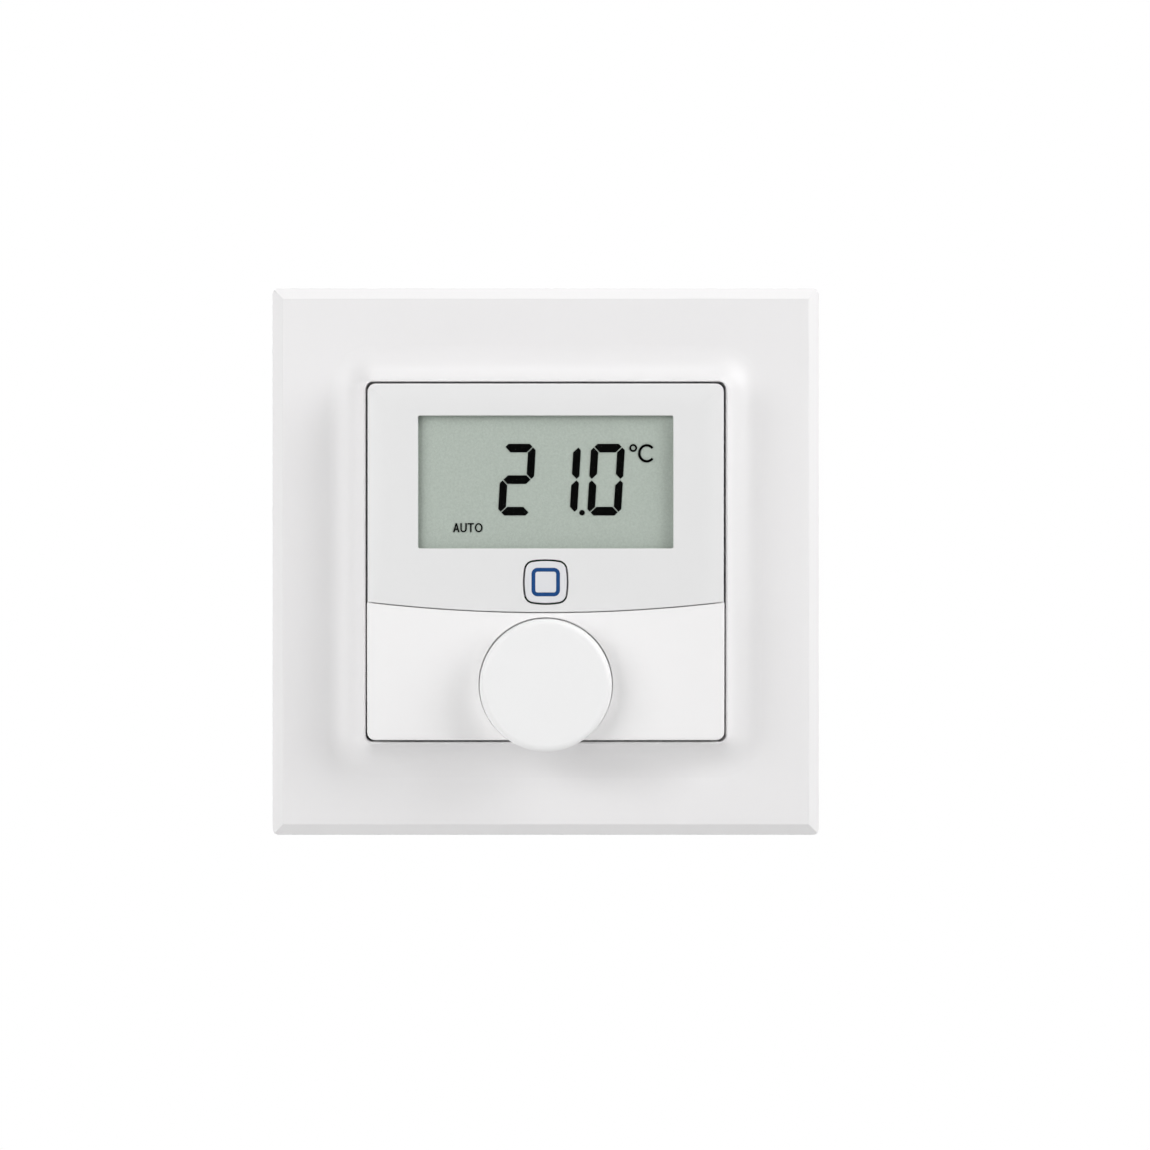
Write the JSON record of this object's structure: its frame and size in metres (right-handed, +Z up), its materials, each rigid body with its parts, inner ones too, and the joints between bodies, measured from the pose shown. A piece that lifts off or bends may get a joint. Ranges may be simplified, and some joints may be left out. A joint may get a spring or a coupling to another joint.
{
  "type": "wall thermostat",
  "caption": "Battery-powered radio room thermostat: square cover frame with a raised collar, clip-on unit with recessed display, button and push-and-turn knob.",
  "frame": {"origin": "centre of the plane that lies on the wall", "axes": "+Z up, +X to the right seen from the room, +Y into the wall; the front faces -Y"},
  "size_m": [0.086, 0.0255, 0.086],
  "materials": {
    "white_frame": "satin white thermoplastic",
    "plate_grey": "fine matt",
    "housing_white": "fine matt",
    "white_shell": "satin white thermoplastic",
    "white_cover": "satin white thermoplastic",
    "polariser": "clear film",
    "display_glass": "clear",
    "segment_black": "dark",
    "reflector": "grey-green film",
    "light_guide": "opal",
    "holder_white": "fine matt",
    "elastomer": "striped elastomer",
    "led_package": "clear moulded",
    "white_button": "satin",
    "blue_ring": "translucent blue",
    "switch_black": "matt",
    "switch_actuator": "matt",
    "encoder_metal": "die-cast",
    "shaft_plastic": "fine matt",
    "white_knob": "satin white thermoplastic",
    "board_green": "lacquered laminate",
    "chip_black": "moulded",
    "shield_tin": "tinned",
    "copper_wire": "bare wire",
    "can_metal": "drawn can",
    "ceramic_tan": "fired",
    "screw_steel": "zinc plated",
    "cell_jacket": "printed sleeve without marks",
    "contact_nickel": "nickel plated"
  },
  "bodies": {
    "wall_mount": {"mounting_plate": "plate_grey", "cover_frame": "white_frame"},
    "electronics_unit": {"rear_housing": "housing_white", "front_shell": "white_shell", "display_cover": "white_cover", "front_polariser": "polariser", "lcd_glass": "display_glass", "display_segments": "segment_black", "rear_reflector": "reflector", "backlight_guide": "light_guide", "lcd_holder": "holder_white", "contact_strip": "elastomer", "backlight_leds": "led_package", "switch_body": "switch_black", "status_leds": "led_package", "encoder_base": "switch_black", "encoder_bushing": "encoder_metal", "circuit_board": "board_green", "microcontroller": "chip_black", "radio_module": "shield_tin", "antenna": "copper_wire", "climate_sensor": "chip_black", "buffer_capacitor": "can_metal", "board_passives": "ceramic_tan", "case_screws": "screw_steel", "battery_cell_upper": "cell_jacket", "battery_cell_lower": "cell_jacket", "battery_bridge": "contact_nickel", "battery_terminals": "contact_nickel", "battery_springs": "contact_nickel"},
    "button": {"system_button": "white_button", "status_light_ring": "blue_ring", "switch_plunger": "switch_actuator"},
    "knob_plunger": {"encoder_plunger": "switch_actuator"},
    "knob": {"encoder_shaft": "shaft_plastic", "adjustment_knob": "white_knob"}
  },
  "joints": [
    {"name": "unit_pull_off", "type": "slide", "parent": "wall_mount", "child": "electronics_unit", "axis": [0, -1, 0], "range_m": [0, 0.03]},
    {"name": "button_press", "type": "slide", "parent": "electronics_unit", "child": "button", "axis": [0, 1, 0], "range_m": [0, 0.00035], "stiffness_N_per_m": 2000, "springref_m": -0.0003},
    {"name": "knob_press", "type": "slide", "parent": "electronics_unit", "child": "knob_plunger", "axis": [0, 1, 0], "range_m": [0, 0.0004], "stiffness_N_per_m": 4000, "springref_m": -0.0003},
    {"name": "knob_turn", "type": "hinge", "parent": "knob_plunger", "child": "knob", "pos_m": [0, -0.017, -0.01895], "axis": [0, -1, 0], "continuous": true}
  ]
}
